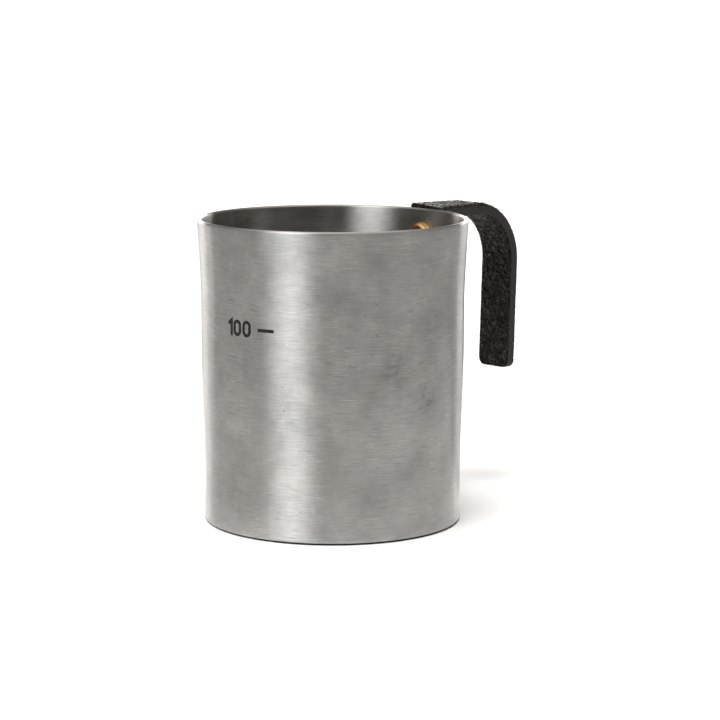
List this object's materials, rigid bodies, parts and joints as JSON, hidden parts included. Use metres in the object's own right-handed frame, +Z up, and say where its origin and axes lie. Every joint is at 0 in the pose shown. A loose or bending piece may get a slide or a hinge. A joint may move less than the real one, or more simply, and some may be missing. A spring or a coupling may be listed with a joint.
{
  "type": "candle melting pot",
  "caption": "Small steel melting pot with a flared rim and a black forged strap handle held by brass screws.",
  "frame": {"origin": "centre of the flat base, on the cup's axis", "axes": "+Z up along the cup's axis, +X from the axis towards the handle"},
  "size_m": [0.0858, 0.0586, 0.0671],
  "materials": {
    "steel": "brushed round the cup, satin",
    "black_iron": "hammered, black, satin",
    "brass": "turned, satin"
  },
  "bodies": {
    "root": {"cup": "steel", "handle": "black_iron", "upper_washer": "brass", "lower_washer": "brass", "upper_screw": "brass", "lower_screw": "brass"}
  },
  "joints": []
}
